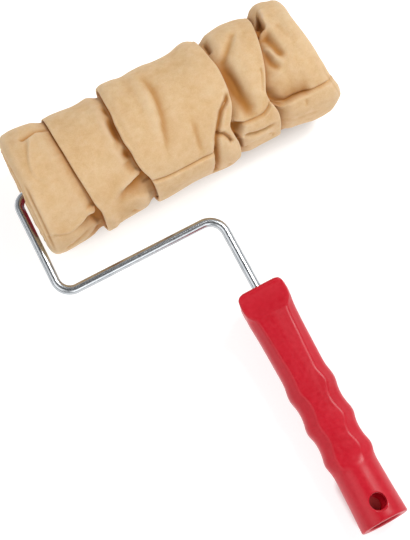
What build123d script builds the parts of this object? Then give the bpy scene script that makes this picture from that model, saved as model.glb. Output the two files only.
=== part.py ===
from math import cos, pi, radians, sin
import os

from build123d import *

# ---------------------------------------------------------------------------
# Paint roller: moulded handle, bent wire frame, turning cage, and a pull-off
# sleeve covered in gathered chamois.
#
# +X runs along the roller's axle to its free end, +Y from the handle to the
# roller, +Z up.  The tool lies at rest: the cover and the handle's tail both
# touch Z = 0, so the wire frame's plane rises towards the roller.
# Origin: bottom centre of the whole tool's box.
# ---------------------------------------------------------------------------

# resting position
COVER_R = 38.5            # outer radius of the gathered cover
FRAME_TILT = 4.84         # rise of the frame's plane towards the roller, degrees
AXLE_Y = 120.12           # axle's place along Y
AXLE_Z = COVER_R

# wire frame (coordinates in the frame's plane, measured from the axle)
WIRE_R = 3.0
ARM_TOP_X = -104.5
ARM_LOW_X = -106.05
CROSS_LEFT_Y = -67.2
CROSS_RIGHT_Y = -66.3
ROD_X = 1.45
ROD_END_Y = -160.0
AXLE_END_X = 99.5
BEND_ROD, BEND_LOW, BEND_AXLE = 10.9, 9.7, 7.5

# handle
HEAD_Y = -119.2           # head's end face
TAIL_Y = -278.5           # tail's end face
SOCKET_R, SOCKET_LEN = 10.5, 58.0
HANG_R, HANG_FROM_TAIL = 5.2, 12.8

# cage
CAP_R = 22.05
FLANGE_R = 24.3
CAGE_WIRE_R = 1.2
CAGE_WIRE_PCD_R = 20.3
CAP_LEN = 12.0
HUB_R = 7.5
BUSH_R = 5.0
BUSH_BORE_R = 3.05

# sleeve
CORE_X0, CORE_X1 = -87.0, 93.0
CORE_R0, CORE_R1 = 22.35, 24.3
FOAM_R = 32.5
COVER_X0, COVER_X1 = -99.3, 108.82
COVER_MOUTH_R = 27.0

# stack along the axle
FLANGE_OUT_X = -89.7
BUSH_IN_X = -91.2
OUT_CAP_FACE_X = 93.5
BUSH_OUT_X = 95.0

tilt = radians(FRAME_TILT)
FRAME_N = (0, -sin(tilt), cos(tilt))          # normal of the frame's plane
FRAME_Y = (0, cos(tilt), sin(tilt))           # "up the frame" direction
axle_point = Vector(0, AXLE_Y, AXLE_Z)
frame_plane = Plane(origin=axle_point, x_dir=(1, 0, 0), z_dir=FRAME_N)


def in_frame(x, y, n=0.0):
    """Point of the frame's plane, n above it, in the tool's own frame."""
    return axle_point + Vector(x, y * cos(tilt) - n * sin(tilt), y * sin(tilt) + n * cos(tilt))


def across_axle(x):
    """Plane across the axle at x, facing +X, its local x along +Y."""
    return Plane(origin=(x, AXLE_Y, AXLE_Z), x_dir=(0, 1, 0), z_dir=(1, 0, 0))


# half-plane that holds the axle, for turned profiles: local x = radius, local y = +X
turn_plane = Plane(origin=(0, AXLE_Y, AXLE_Z), x_dir=(0, 0, 1), z_dir=(0, 1, 0))
# local y of that plane is z_dir x x_dir = +X
axle_axis = Axis((0, AXLE_Y, AXLE_Z), (1, 0, 0))


def across_handle(t):
    """Plane across the handle, t from the head's end face towards the tail."""
    return Plane(
        origin=in_frame(ROD_X, HEAD_Y - t),
        x_dir=(1, 0, 0),
        z_dir=(0, -cos(tilt), -sin(tilt)),
    )


os.makedirs("parts", exist_ok=True)

# ---------------------------------------------------------------------------
# Frame rod: one wire, from inside the handle to the axle's free end
# ---------------------------------------------------------------------------
with BuildPart() as frame_rod:
    with BuildLine(frame_plane) as rod_path:
        FilletPolyline(
            (ROD_X, ROD_END_Y),
            (ROD_X, CROSS_RIGHT_Y),
            (ARM_LOW_X, CROSS_LEFT_Y),
            (ARM_TOP_X, 0),
            (AXLE_END_X, 0),
            radius=[BEND_ROD, BEND_LOW, BEND_AXLE],
        )
    with BuildSketch(Plane(origin=rod_path.line @ 0, z_dir=rod_path.line % 0)):
        Circle(WIRE_R)
    sweep(path=rod_path.line)
    # two ears squeezed out of the wire, which locate the inner washer
    with BuildSketch(across_axle(-95.2)):
        Rectangle(9.4, 2.0)
    extrude(amount=2.9)
    # bevelled free end of the axle
    chamfer(frame_rod.faces().sort_by(Axis.X)[-1].edges(), 0.6)
frame_rod.part.label = "frame_rod"
export_step(frame_rod.part, "parts/frame_rod.step")

# ---------------------------------------------------------------------------
# Handle: flared head, flat-topped grip with three swellings, round tail that swells a
# little towards its end.  Each section gives:
# t from the head, half width, upper height, lower height, squareness
# ---------------------------------------------------------------------------
HANDLE_SECTIONS = [
    (0.0, 14.00, 15.3, 14.5, 0.80),
    (0.9, 15.20, 16.4, 15.5, 0.80),
    (2.4, 15.80, 16.9, 16.0, 0.80),
    (6.0, 16.10, 15.9, 15.4, 0.80),
    (10.0, 16.30, 14.7, 14.4, 0.80),
    (14.0, 15.70, 13.8, 13.6, 0.80),
    (18.0, 15.15, 13.1, 12.9, 0.78),
    (26.0, 14.70, 13.0, 12.8, 0.78),
    (36.0, 14.40, 13.0, 12.8, 0.78),
    (46.0, 14.25, 13.0, 12.8, 0.78),
    (56.0, 14.15, 13.0, 12.8, 0.78),
    (60.5, 14.40, 13.1, 12.9, 0.78),
    (64.5, 15.00, 13.2, 13.0, 0.78),
    (67.8, 15.35, 13.3, 13.1, 0.78),
    (71.5, 15.05, 13.2, 13.0, 0.78),
    (75.0, 14.30, 13.1, 12.9, 0.78),
    (79.5, 14.00, 13.0, 12.8, 0.78),
    (84.5, 14.50, 13.1, 12.9, 0.78),
    (88.5, 15.20, 13.2, 13.0, 0.78),
    (91.0, 15.50, 13.3, 13.1, 0.78),
    (94.0, 15.10, 13.2, 13.0, 0.78),
    (97.5, 14.20, 13.1, 12.9, 0.78),
    (102.0, 13.95, 13.0, 12.8, 0.78),
    (107.0, 14.30, 13.2, 13.0, 0.75),
    (110.5, 15.00, 13.4, 13.2, 0.70),
    (113.5, 15.50, 13.7, 13.5, 0.62),
    (116.5, 15.20, 13.9, 13.7, 0.42),
    (120.0, 14.45, 14.0, 13.9, 0.15),
    (125.0, 14.20, 14.20, 14.20, 0.0),
    (133.0, 14.40, 14.40, 14.40, 0.0),
    (141.0, 14.60, 14.60, 14.60, 0.0),
    (149.0, 14.95, 14.95, 14.95, 0.0),
    (156.5, 15.30, 15.30, 15.30, 0.0),
    (159.3, 14.90, 14.90, 14.90, 0.0),
]


GRIP_ROLL = radians(5.0)  # the grip sits turned on the rod by this much


def handle_outline(half_w, up, down, square):
    """Closed section: a flat top and bottom with bevels, or round as square goes to 0."""
    points = []
    for k in range(24):
        a = 2 * pi * (k + 0.5) / 24
        c, s = cos(a), sin(a)
        # octagon-like radius with flats above and below and bevels between
        flat = 1.0 / max(abs(c), abs(s), 0.742 * (abs(c) + abs(s)))
        r = (1 - square) + square * flat * 0.985
        x, y = half_w * r * c, (up if s > 0 else down) * r * s
        points.append((x * cos(GRIP_ROLL) - y * sin(GRIP_ROLL), x * sin(GRIP_ROLL) + y * cos(GRIP_ROLL)))
    return points


with BuildPart() as handle:
    for t, half_w, up, down, square in HANDLE_SECTIONS:
        with BuildSketch(across_handle(t)):
            with BuildLine():
                Spline(*handle_outline(half_w, up, down, square), periodic=True)
            make_face()
    loft(ruled=True)
    # channel that holds the rod
    with BuildSketch(across_handle(-1.0)):
        Circle(WIRE_R)
    extrude(amount=HEAD_Y - ROD_END_Y + 1.0, mode=Mode.SUBTRACT)
    # pole socket, open at the tail
    with BuildSketch(across_handle(HEAD_Y - TAIL_Y - SOCKET_LEN)):
        Circle(SOCKET_R)
    extrude(amount=SOCKET_LEN + 1.0, mode=Mode.SUBTRACT)
    # hanging hole through both walls
    with BuildSketch(
        Plane(
            origin=in_frame(ROD_X, TAIL_Y + HANG_FROM_TAIL, -20),
            x_dir=(1, 0, 0),
            z_dir=FRAME_N,
        )
    ):
        Circle(HANG_R)
    extrude(amount=40, mode=Mode.SUBTRACT)
handle.part.label = "handle"
export_step(handle.part, "parts/handle.step")

# ---------------------------------------------------------------------------
# Washers and push-on nut on the axle
# ---------------------------------------------------------------------------
with BuildPart() as inner_washer:
    with BuildSketch(across_axle(-92.3)):
        Circle(6.6)
        Circle(WIRE_R, mode=Mode.SUBTRACT)
    extrude(amount=0.9)
inner_washer.part.label = "inner_washer"
export_step(inner_washer.part, "parts/inner_washer.step")

with BuildPart() as outer_washer:
    with BuildSketch(across_axle(95.2)):
        Circle(6.6)
        Circle(WIRE_R, mode=Mode.SUBTRACT)
    extrude(amount=0.9)
outer_washer.part.label = "outer_washer"
export_step(outer_washer.part, "parts/outer_washer.step")

with BuildPart() as retaining_nut:
    with BuildSketch(turn_plane):
        with BuildLine():
            Polyline(
                (WIRE_R, 96.1),
                (6.9, 96.1),
                (6.9, 97.0),
                (5.2, 97.4),
                (5.2, 100.0),
                (4.4, 101.3),
                (2.8, 102.0),
                (0, 102.2),
                (0, 99.7),
                (WIRE_R, 99.7),
                close=True,
            )
        make_face()
    revolve(axis=axle_axis)
retaining_nut.part.label = "retaining_nut"
export_step(retaining_nut.part, "parts/retaining_nut.step")

# ---------------------------------------------------------------------------
# Cage: two end caps, two bushes, five wires
# ---------------------------------------------------------------------------
with BuildPart() as inner_bearing:
    with BuildSketch(turn_plane):
        with BuildLine():
            Polyline(
                (BUSH_BORE_R, BUSH_IN_X),
                (6.4, BUSH_IN_X),
                (6.4, BUSH_IN_X + 1.2),
                (BUSH_R, BUSH_IN_X + 1.2),
                (BUSH_R, BUSH_IN_X + 14.0),
                (BUSH_BORE_R, BUSH_IN_X + 14.0),
                close=True,
            )
        make_face()
    revolve(axis=axle_axis)
inner_bearing.part.label = "inner_bearing"
export_step(inner_bearing.part, "parts/inner_bearing.step")

with BuildPart() as outer_bearing:
    with BuildSketch(turn_plane):
        with BuildLine():
            Polyline(
                (BUSH_BORE_R, BUSH_OUT_X),
                (6.4, BUSH_OUT_X),
                (6.4, BUSH_OUT_X - 1.2),
                (BUSH_R, BUSH_OUT_X - 1.2),
                (BUSH_R, BUSH_OUT_X - 14.0),
                (BUSH_BORE_R, BUSH_OUT_X - 14.0),
                close=True,
            )
        make_face()
    revolve(axis=axle_axis)
outer_bearing.part.label = "outer_bearing"
export_step(outer_bearing.part, "parts/outer_bearing.step")

# inner cap: web, hub, thick rim for the wires, flange that stops the sleeve
INNER_RIM_X = FLANGE_OUT_X + 2.5
with BuildPart() as inner_end_cap:
    with BuildSketch(turn_plane):
        with BuildLine():
            Polyline(
                (BUSH_R, FLANGE_OUT_X - 0.3),
                (HUB_R, FLANGE_OUT_X - 0.3),
                (HUB_R, FLANGE_OUT_X + 0.9),
                (21.0, FLANGE_OUT_X + 0.9),
                (21.6, FLANGE_OUT_X),
                (FLANGE_R - 0.5, FLANGE_OUT_X),
                (FLANGE_R, FLANGE_OUT_X + 0.5),
                (FLANGE_R, INNER_RIM_X),
                (CAP_R, INNER_RIM_X),
                (CAP_R, INNER_RIM_X + CAP_LEN),
                (18.0, INNER_RIM_X + CAP_LEN),
                (18.0, INNER_RIM_X + 0.6),
                (HUB_R, INNER_RIM_X + 0.6),
                (HUB_R, INNER_RIM_X + CAP_LEN - 0.5),
                (BUSH_R, INNER_RIM_X + CAP_LEN - 0.5),
                close=True,
            )
        make_face()
    revolve(axis=axle_axis)
    # blind holes for the cage wires
    with BuildSketch(across_axle(INNER_RIM_X + 2.0)):
        with PolarLocations(CAGE_WIRE_PCD_R, 5, start_angle=90):
            Circle(CAGE_WIRE_R)
    extrude(amount=CAP_LEN, mode=Mode.SUBTRACT)
    # five ribs on the outer face, between hub and rim
    with BuildSketch(across_axle(FLANGE_OUT_X + 0.1)):
        with PolarLocations(14.2, 5, start_angle=54):
            Rectangle(14.4, 1.8)
    extrude(amount=1.2)
inner_end_cap.part.label = "inner_end_cap"
export_step(inner_end_cap.part, "parts/inner_end_cap.step")

# outer cap: the same without the flange, so that the sleeve slides over it
OUTER_RIM_X = OUT_CAP_FACE_X - CAP_LEN
with BuildPart() as outer_end_cap:
    with BuildSketch(turn_plane):
        with BuildLine():
            Polyline(
                (BUSH_R, OUT_CAP_FACE_X + 0.3),
                (HUB_R, OUT_CAP_FACE_X + 0.3),
                (HUB_R, OUT_CAP_FACE_X - 0.9),
                (19.2, OUT_CAP_FACE_X - 0.9),
                (19.8, OUT_CAP_FACE_X),
                (CAP_R - 1.2, OUT_CAP_FACE_X),
                (CAP_R, OUT_CAP_FACE_X - 1.2),
                (CAP_R, OUTER_RIM_X),
                (18.0, OUTER_RIM_X),
                (18.0, OUT_CAP_FACE_X - 3.1),
                (HUB_R, OUT_CAP_FACE_X - 3.1),
                (HUB_R, OUTER_RIM_X - 0.5),
                (BUSH_R, OUTER_RIM_X - 0.5),
                close=True,
            )
        make_face()
    revolve(axis=axle_axis)
    with BuildSketch(across_axle(OUTER_RIM_X - 0.5)):
        with PolarLocations(CAGE_WIRE_PCD_R, 5, start_angle=90):
            Circle(CAGE_WIRE_R)
    extrude(amount=CAP_LEN - 2.0, mode=Mode.SUBTRACT)
    with BuildSketch(across_axle(OUT_CAP_FACE_X - 1.3)):
        with PolarLocations(13.3, 5, start_angle=54):
            Rectangle(12.6, 1.8)
    extrude(amount=1.2)
outer_end_cap.part.label = "outer_end_cap"
export_step(outer_end_cap.part, "parts/outer_end_cap.step")

# five straight cage wires from cap to cap, seated in the blind holes
WIRE_X0 = INNER_RIM_X + 2.0
WIRE_X1 = OUTER_RIM_X - 0.5 + CAP_LEN - 2.0
for k in range(5):
    angle = radians(90 + 72 * k)
    with BuildPart() as cage_wire:
        with BuildSketch(
            Plane(
                origin=(
                    WIRE_X0,
                    AXLE_Y + CAGE_WIRE_PCD_R * cos(angle),
                    AXLE_Z + CAGE_WIRE_PCD_R * sin(angle),
                ),
                x_dir=(0, 1, 0),
                z_dir=(1, 0, 0),
            )
        ):
            Circle(CAGE_WIRE_R)
        extrude(amount=WIRE_X1 - WIRE_X0)
    cage_wire.part.label = f"cage_wire_{k + 1}"
    export_step(cage_wire.part, f"parts/cage_wire_{k + 1}.step")

# ---------------------------------------------------------------------------
# Sleeve: core tube, foam padding, gathered chamois cover
# ---------------------------------------------------------------------------
with BuildPart() as core_tube:
    with BuildSketch(across_axle(CORE_X0)):
        Circle(CORE_R1)
        Circle(CORE_R0, mode=Mode.SUBTRACT)
    extrude(amount=CORE_X1 - CORE_X0)
core_tube.part.label = "core_tube"
export_step(core_tube.part, "parts/core_tube.step")

with BuildPart() as foam_padding:
    with BuildSketch(across_axle(CORE_X0)):
        Circle(FOAM_R)
        Circle(CORE_R1, mode=Mode.SUBTRACT)
    extrude(amount=CORE_X1 - CORE_X0)
foam_padding.part.label = "foam_padding"
export_step(foam_padding.part, "parts/foam_padding.step")

# the gathered leather as one thick turned shell: broad bands with shallow valleys at
# the folds, and both ends gathered in past the core
with BuildPart() as chamois_cover:
    with BuildSketch(turn_plane):
        with BuildLine():
            Polyline(
                (FOAM_R, CORE_X0),
                (COVER_MOUTH_R, CORE_X0),
                (COVER_MOUTH_R, COVER_X0 + 2.5),
                (COVER_MOUTH_R + 2.5, COVER_X0),
                (33.5, COVER_X0),
                (36.6, COVER_X0 + 3.0),
                (COVER_R, COVER_X0 + 10.0),
                (COVER_R, -62.0),
                (37.4, -59.0),
                (COVER_R, -56.0),
                (COVER_R, -22.0),
                (37.4, -19.0),
                (COVER_R, -16.0),
                (COVER_R, 43.0),
                (37.4, 46.0),
                (COVER_R, 49.0),
                (COVER_R, 76.0),
                (37.4, 79.0),
                (COVER_R, 82.0),
                (COVER_R, COVER_X1 - 10.0),
                (36.6, COVER_X1 - 3.0),
                (33.5, COVER_X1),
                (COVER_MOUTH_R + 2.5, COVER_X1),
                (COVER_MOUTH_R, COVER_X1 - 2.5),
                (COVER_MOUTH_R, CORE_X1),
                (FOAM_R, CORE_X1),
                close=True,
            )
        make_face()
    revolve(axis=axle_axis)
chamois_cover.part.label = "chamois_cover"
export_step(chamois_cover.part, "parts/chamois_cover.step")
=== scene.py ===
import math

import bpy
import numpy as np
from mathutils import Matrix, Vector


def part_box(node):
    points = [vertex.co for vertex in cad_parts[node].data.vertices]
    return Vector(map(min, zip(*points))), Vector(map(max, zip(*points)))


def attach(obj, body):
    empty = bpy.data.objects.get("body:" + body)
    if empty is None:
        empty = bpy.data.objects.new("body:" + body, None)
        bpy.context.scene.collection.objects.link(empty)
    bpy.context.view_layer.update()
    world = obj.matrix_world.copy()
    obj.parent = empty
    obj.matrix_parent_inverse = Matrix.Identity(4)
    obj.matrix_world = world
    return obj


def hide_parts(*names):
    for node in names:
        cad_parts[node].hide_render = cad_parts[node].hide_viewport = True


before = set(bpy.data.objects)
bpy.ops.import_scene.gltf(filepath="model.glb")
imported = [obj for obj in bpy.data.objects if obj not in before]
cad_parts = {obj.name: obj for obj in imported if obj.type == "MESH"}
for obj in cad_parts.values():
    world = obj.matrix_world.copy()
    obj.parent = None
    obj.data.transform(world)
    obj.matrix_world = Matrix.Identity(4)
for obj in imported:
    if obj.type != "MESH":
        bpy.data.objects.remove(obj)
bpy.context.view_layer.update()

scene = bpy.context.scene
MM = 0.001

# ---------------------------------------------------------------------------
# Places, from the frame
# ---------------------------------------------------------------------------
core_lo, core_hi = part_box("core_tube")
AX_Y = (core_lo[1] + core_hi[1]) / 2 / MM       # axle, in millimetres
AX_Z = (core_lo[2] + core_hi[2]) / 2 / MM
CORE_X0, CORE_X1 = core_lo[0] / MM, core_hi[0] / MM
rod_lo, rod_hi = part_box("frame_rod")
han_lo, han_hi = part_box("handle")
TILT = math.radians(4.84)                       # rise of the frame's plane
ROD_X = 1.45
CT, ST = math.cos(TILT), math.sin(TILT)


def in_frame(x, y, n=0.0):
    """Point of the frame's plane (mm from the axle, n above it), in metres."""
    return np.array([x, AX_Y + y * CT - n * ST, AX_Z + y * ST + n * CT]) * MM


# ---------------------------------------------------------------------------
# Small maths
# ---------------------------------------------------------------------------
def smooth(a, b, x):
    t = np.clip((np.asarray(x, float) - a) / (b - a), 0.0, 1.0)
    return t * t * (3 - 2 * t)


def hermite(xs, ys, x, period=None):
    """Cubic through the points (Catmull-Rom tangents), periodic if asked."""
    xs, ys = np.asarray(xs, float), np.asarray(ys, float)
    if period:
        xs = np.concatenate([xs[-2:] - period, xs, xs[:2] + period])
        ys = np.concatenate([ys[-2:], ys, ys[:2]])
        x = (np.asarray(x, float) - xs[2]) % period + xs[2]
    m = np.empty_like(ys)
    m[1:-1] = (ys[2:] - ys[:-2]) / (xs[2:] - xs[:-2])
    m[0] = (ys[1] - ys[0]) / (xs[1] - xs[0])
    m[-1] = (ys[-1] - ys[-2]) / (xs[-1] - xs[-2])
    x = np.clip(np.asarray(x, float), xs[0], xs[-1])
    i = np.clip(np.searchsorted(xs, x, side="right") - 1, 0, len(xs) - 2)
    h = xs[i + 1] - xs[i]
    t = (x - xs[i]) / h
    return (
        (2 * t**3 - 3 * t**2 + 1) * ys[i]
        + (t**3 - 2 * t**2 + t) * h * m[i]
        + (-2 * t**3 + 3 * t**2) * ys[i + 1]
        + (t**3 - t**2) * h * m[i + 1]
    )


def around(keys, phi):
    """Periodic curve through {degrees: value}."""
    d = sorted(keys)
    return hermite(d, [keys[k] for k in d], phi, period=360.0)


class Field:
    """Smooth noise over (x, angle), periodic in the angle, about -1 to 1."""

    def __init__(self, seed, cell_x, n_phi):
        rng = np.random.RandomState(seed)
        self.cell, self.n = cell_x, n_phi
        self.g = rng.uniform(-1, 1, (400, n_phi))

    def __call__(self, x, phi):
        u = np.asarray(x, float) / self.cell + 200.0
        v = (np.asarray(phi, float) % 360.0) / 360.0 * self.n
        i, j = np.floor(u).astype(int), np.floor(v).astype(int)
        fu, fv = u - i, v - j
        fu, fv = fu * fu * (3 - 2 * fu), fv * fv * (3 - 2 * fv)
        g = lambda a, b: self.g[a % 400, b % self.n]
        return (
            g(i, j) * (1 - fu) * (1 - fv)
            + g(i + 1, j) * fu * (1 - fv)
            + g(i, j + 1) * (1 - fu) * fv
            + g(i + 1, j + 1) * fu * fv
        )


# ---------------------------------------------------------------------------
# Mesh helpers
# ---------------------------------------------------------------------------
def new_object(name, verts, faces, smooth_shade=True):
    me = bpy.data.meshes.new(name)
    me.from_pydata([tuple(v) for v in verts], [], [tuple(f) for f in faces])
    me.validate()
    me.update()
    ob = bpy.data.objects.new(name, me)
    scene.collection.objects.link(ob)
    if smooth_shade:
        me.polygons.foreach_set("use_smooth", [True] * len(me.polygons))
    return ob


def grid_faces(rows, cols, wrap_cols=True, wrap_rows=False, flip=False):
    out = []
    cc = cols if wrap_cols else cols - 1
    rr = rows if wrap_rows else rows - 1
    for i in range(rr):
        for j in range(cc):
            a, b = i * cols + j, i * cols + (j + 1) % cols
            c, d = ((i + 1) % rows) * cols + (j + 1) % cols, ((i + 1) % rows) * cols + j
            out.append((a, d, c, b) if flip else (a, b, c, d))
    return out


def outward(ob):
    """Turns a closed mesh's faces outward."""
    import bmesh

    bm = bmesh.new()
    bm.from_mesh(ob.data)
    bmesh.ops.recalc_face_normals(bm, faces=bm.faces)
    if bm.calc_volume(signed=True) < 0:
        bmesh.ops.reverse_faces(bm, faces=bm.faces)
    bm.to_mesh(ob.data)
    bm.free()


def add_attr(ob, name, values):
    at = ob.data.attributes.new(name, "FLOAT", "POINT")
    at.data.foreach_set("value", np.asarray(values, np.float32))


# ---------------------------------------------------------------------------
# Node helpers
# ---------------------------------------------------------------------------
class Mat:
    def __init__(self, name):
        self.m = bpy.data.materials.new(name)
        self.m.use_nodes = True
        self.t = self.m.node_tree
        self.b = self.t.nodes["Principled BSDF"]
        self.out = self.t.nodes["Material Output"]

    def node(self, kind, **props):
        n = self.t.nodes.new(kind)
        for k, v in props.items():
            setattr(n, k, v)
        return n

    def link(self, a, b):
        self.t.links.new(a, b)

    def set(self, **vals):
        names = {
            "base": "Base Color",
            "rough": "Roughness",
            "metal": "Metallic",
            "ior": "IOR",
            "sheen": "Sheen Weight",
            "sheen_rough": "Sheen Roughness",
            "sheen_tint": "Sheen Tint",
            "sss": "Subsurface Weight",
            "sss_radius": "Subsurface Radius",
            "sss_scale": "Subsurface Scale",
            "spec": "Specular IOR Level",
            "coat": "Coat Weight",
            "coat_rough": "Coat Roughness",
            "aniso": "Anisotropic",
        }
        for k, v in vals.items():
            self.b.inputs[names[k]].default_value = v

    def coords(self, kind="Object"):
        if not hasattr(self, "_tc"):
            self._tc = self.node("ShaderNodeTexCoord")
        return self._tc.outputs[kind]

    def mapping(self, scale=(1, 1, 1), rot=(0, 0, 0), src=None):
        n = self.node("ShaderNodeMapping")
        n.inputs["Scale"].default_value = scale
        n.inputs["Rotation"].default_value = rot
        self.link(src or self.coords(), n.inputs["Vector"])
        return n.outputs["Vector"]

    def noise(self, scale, detail=4.0, rough=0.5, vec=None, distortion=0.0):
        n = self.node("ShaderNodeTexNoise")
        n.inputs["Scale"].default_value = scale
        n.inputs["Detail"].default_value = detail
        n.inputs["Roughness"].default_value = rough
        n.inputs["Distortion"].default_value = distortion
        self.link(vec or self.coords(), n.inputs["Vector"])
        return n.outputs["Fac"]

    def ramp(self, fac, stops, interp="LINEAR"):
        n = self.node("ShaderNodeValToRGB")
        cr = n.color_ramp
        cr.interpolation = interp
        while len(cr.elements) < len(stops):
            cr.elements.new(0.5)
        for e, (p, c) in zip(cr.elements, stops):
            e.position = p
            e.color = c if hasattr(c, "__len__") else (c, c, c, 1)
        self.link(fac, n.inputs["Fac"])
        return n.outputs["Color"]

    def mix(self, fac, a, b, blend="MIX"):
        n = self.node("ShaderNodeMix", data_type="RGBA", blend_type=blend)
        n.clamp_result = False
        for sock, val in ((n.inputs[0], fac), (n.inputs[6], a), (n.inputs[7], b)):
            if hasattr(val, "is_linked"):
                self.link(val, sock)
            else:
                sock.default_value = val
        return n.outputs[2]

    def math(self, op, a, b=None, clamp=False):
        n = self.node("ShaderNodeMath", operation=op)
        n.use_clamp = clamp
        for sock, val in zip(n.inputs, (a, b)):
            if val is None:
                continue
            if hasattr(val, "is_linked"):
                self.link(val, sock)
            else:
                sock.default_value = val
        return n.outputs[0]

    def attr(self, name):
        n = self.node("ShaderNodeAttribute")
        n.attribute_name = name
        return n.outputs["Fac"]

    def bump(self, height, strength, distance, normal=None):
        n = self.node("ShaderNodeBump")
        n.inputs["Strength"].default_value = strength
        n.inputs["Distance"].default_value = distance
        self.link(height, n.inputs["Height"])
        if normal is not None:
            self.link(normal, n.inputs["Normal"])
        return n.outputs["Normal"]


def lin(r, g, b):
    """8-bit display colour to scene linear."""
    f = lambda c: (c / 255) / 12.92 if c / 255 <= 0.04045 else ((c / 255 + 0.055) / 1.055) ** 2.4
    return (f(r), f(g), f(b), 1.0)


# ---------------------------------------------------------------------------
# Materials
# ---------------------------------------------------------------------------
def make_chamois():
    m = Mat("chamois_suede")
    blotch = m.noise(38.0, 3.0, 0.55)
    mottle = m.noise(210.0, 4.0, 0.6)
    grain = m.noise(1500.0, 3.0, 0.6)
    nap = m.noise(700.0, 3.0, 0.55, vec=m.mapping(scale=(1.0, 0.45, 0.45)))
    tone = m.ramp(blotch, [(0.30, lin(216, 176, 127)), (0.52, lin(223, 187, 141)), (0.72, lin(229, 199, 158))])
    tone = m.mix(0.36, tone, m.ramp(mottle, [(0.32, lin(204, 161, 110)), (0.5, lin(222, 186, 139)), (0.70, lin(234, 206, 167))]))
    tone = m.mix(0.16, tone, m.ramp(grain, [(0.30, lin(196, 150, 96)), (0.5, lin(232, 196, 148)), (0.72, lin(250, 228, 190))]))
    # painted shade: the crease, hollow and deep attributes darken and warm the leather in creases, under fold edges,
    # in valleys and in dips
    crease_shade = m.attr("crease_shade")
    hollow = m.attr("hollow")
    valley = m.math("MULTIPLY", m.math("MAXIMUM", hollow, 0.0), 1.5, clamp=True)
    ridge = m.math("MULTIPLY", m.math("MAXIMUM", m.math("MULTIPLY", hollow, -1.0), 0.0), 1.1, clamp=True)
    # lighter on ridges, darker in valleys (painted shade) from the hollow attribute
    tone = m.mix(m.math("MULTIPLY", ridge, 0.55), tone, lin(236, 211, 178))
    tone = m.mix(m.math("MULTIPLY", valley, 0.75), tone, lin(196, 140, 74))
    tone = m.mix(m.math("MULTIPLY", m.attr("deep"), 0.92, clamp=True), tone, lin(176, 116, 50))
    tone = m.mix(m.math("MULTIPLY", crease_shade, 0.85, clamp=True), tone, lin(164, 98, 34))
    tone = m.mix(1.0, tone, (0.91, 0.905, 0.89, 1), blend="MULTIPLY")
    m.link(tone, m.b.inputs["Base Color"])
    rough = m.ramp(mottle, [(0.3, 0.93), (0.7, 0.80)])
    m.link(rough, m.b.inputs["Roughness"])
    m.set(spec=0.18, sheen=0.14, sheen_rough=0.45, sheen_tint=(1.0, 0.93, 0.82, 1), sss=0.10, sss_radius=(1.0, 0.5, 0.2), sss_scale=0.0012)
    n1 = m.bump(grain, 0.35, 0.0002)
    n2 = m.bump(nap, 0.35, 0.00035, n1)
    n3 = m.bump(mottle, 0.30, 0.0009, n2)
    n4 = m.bump(m.noise(85.0, 3.0, 0.5, distortion=0.6), 0.32, 0.0016, n3)
    m.link(n4, m.b.inputs["Normal"])
    return m.m


def make_red(name, base, deep, rough=(0.30, 0.44), scratch=0.5):
    m = Mat(name)
    cloud = m.noise(26.0, 3.0, 0.5)
    fine = m.noise(420.0, 4.0, 0.6)
    streak = m.noise(60.0, 4.0, 0.6, vec=m.mapping(scale=(9.0, 1.0, 9.0)))
    tone = m.ramp(cloud, [(0.30, deep), (0.70, base)])
    tone = m.mix(0.10, tone, m.ramp(fine, [(0.35, lin(150, 10, 30)), (0.65, lin(222, 60, 78))]))
    m.link(tone, m.b.inputs["Base Color"])
    r = m.ramp(m.math("ADD", m.math("MULTIPLY", fine, 0.5), m.math("MULTIPLY", streak, 0.5)), [(0.36, rough[0]), (0.64, rough[1])])
    m.link(r, m.b.inputs["Roughness"])
    m.set(spec=0.40, ior=1.49, sss=0.04, sss_radius=(1.0, 0.15, 0.1), sss_scale=0.0015)
    n1 = m.bump(fine, 0.10, 0.00012)
    n2 = m.bump(streak, 0.10 * scratch * 2, 0.00015, n1)
    m.link(n2, m.b.inputs["Normal"])
    return m.m


def make_zinc():
    m = Mat("zinc_wire")
    along = m.attr("along")
    ang = m.attr("turn")
    vec = m.node("ShaderNodeCombineXYZ")
    m.link(m.math("MULTIPLY", along, 6.0), vec.inputs[0])
    m.link(m.math("MULTIPLY", ang, 60.0), vec.inputs[1])
    streak = m.noise(4.0, 5.0, 0.6, vec=vec.outputs[0])
    spot = m.noise(900.0, 3.0, 0.6)
    cloud = m.noise(140.0, 3.0, 0.5)
    tone = m.ramp(cloud, [(0.3, lin(170, 175, 179)), (0.7, lin(200, 204, 207))])
    tone = m.mix(0.35, tone, m.ramp(streak, [(0.35, lin(146, 151, 157)), (0.6, lin(212, 215, 218))]))
    m.link(tone, m.b.inputs["Base Color"])
    rough = m.ramp(m.math("ADD", m.math("MULTIPLY", streak, 0.6), m.math("MULTIPLY", spot, 0.4)), [(0.35, 0.17), (0.65, 0.30)])
    m.link(rough, m.b.inputs["Roughness"])
    m.set(metal=1.0)
    n1 = m.bump(streak, 0.12, 0.00010)
    n2 = m.bump(spot, 0.08, 0.00008, n1)
    m.link(n2, m.b.inputs["Normal"])
    return m.m


def make_steel(name, tint=(190, 192, 196), rough=(0.24, 0.40)):
    m = Mat(name)
    spot = m.noise(700.0, 4.0, 0.6)
    cloud = m.noise(120.0, 3.0, 0.5)
    m.link(m.ramp(cloud, [(0.3, lin(*[int(c * 0.86) for c in tint])), (0.7, lin(*tint))]), m.b.inputs["Base Color"])
    m.link(m.ramp(spot, [(0.35, rough[0]), (0.65, rough[1])]), m.b.inputs["Roughness"])
    m.set(metal=1.0)
    m.link(m.bump(spot, 0.12, 0.00008), m.b.inputs["Normal"])
    return m.m


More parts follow.
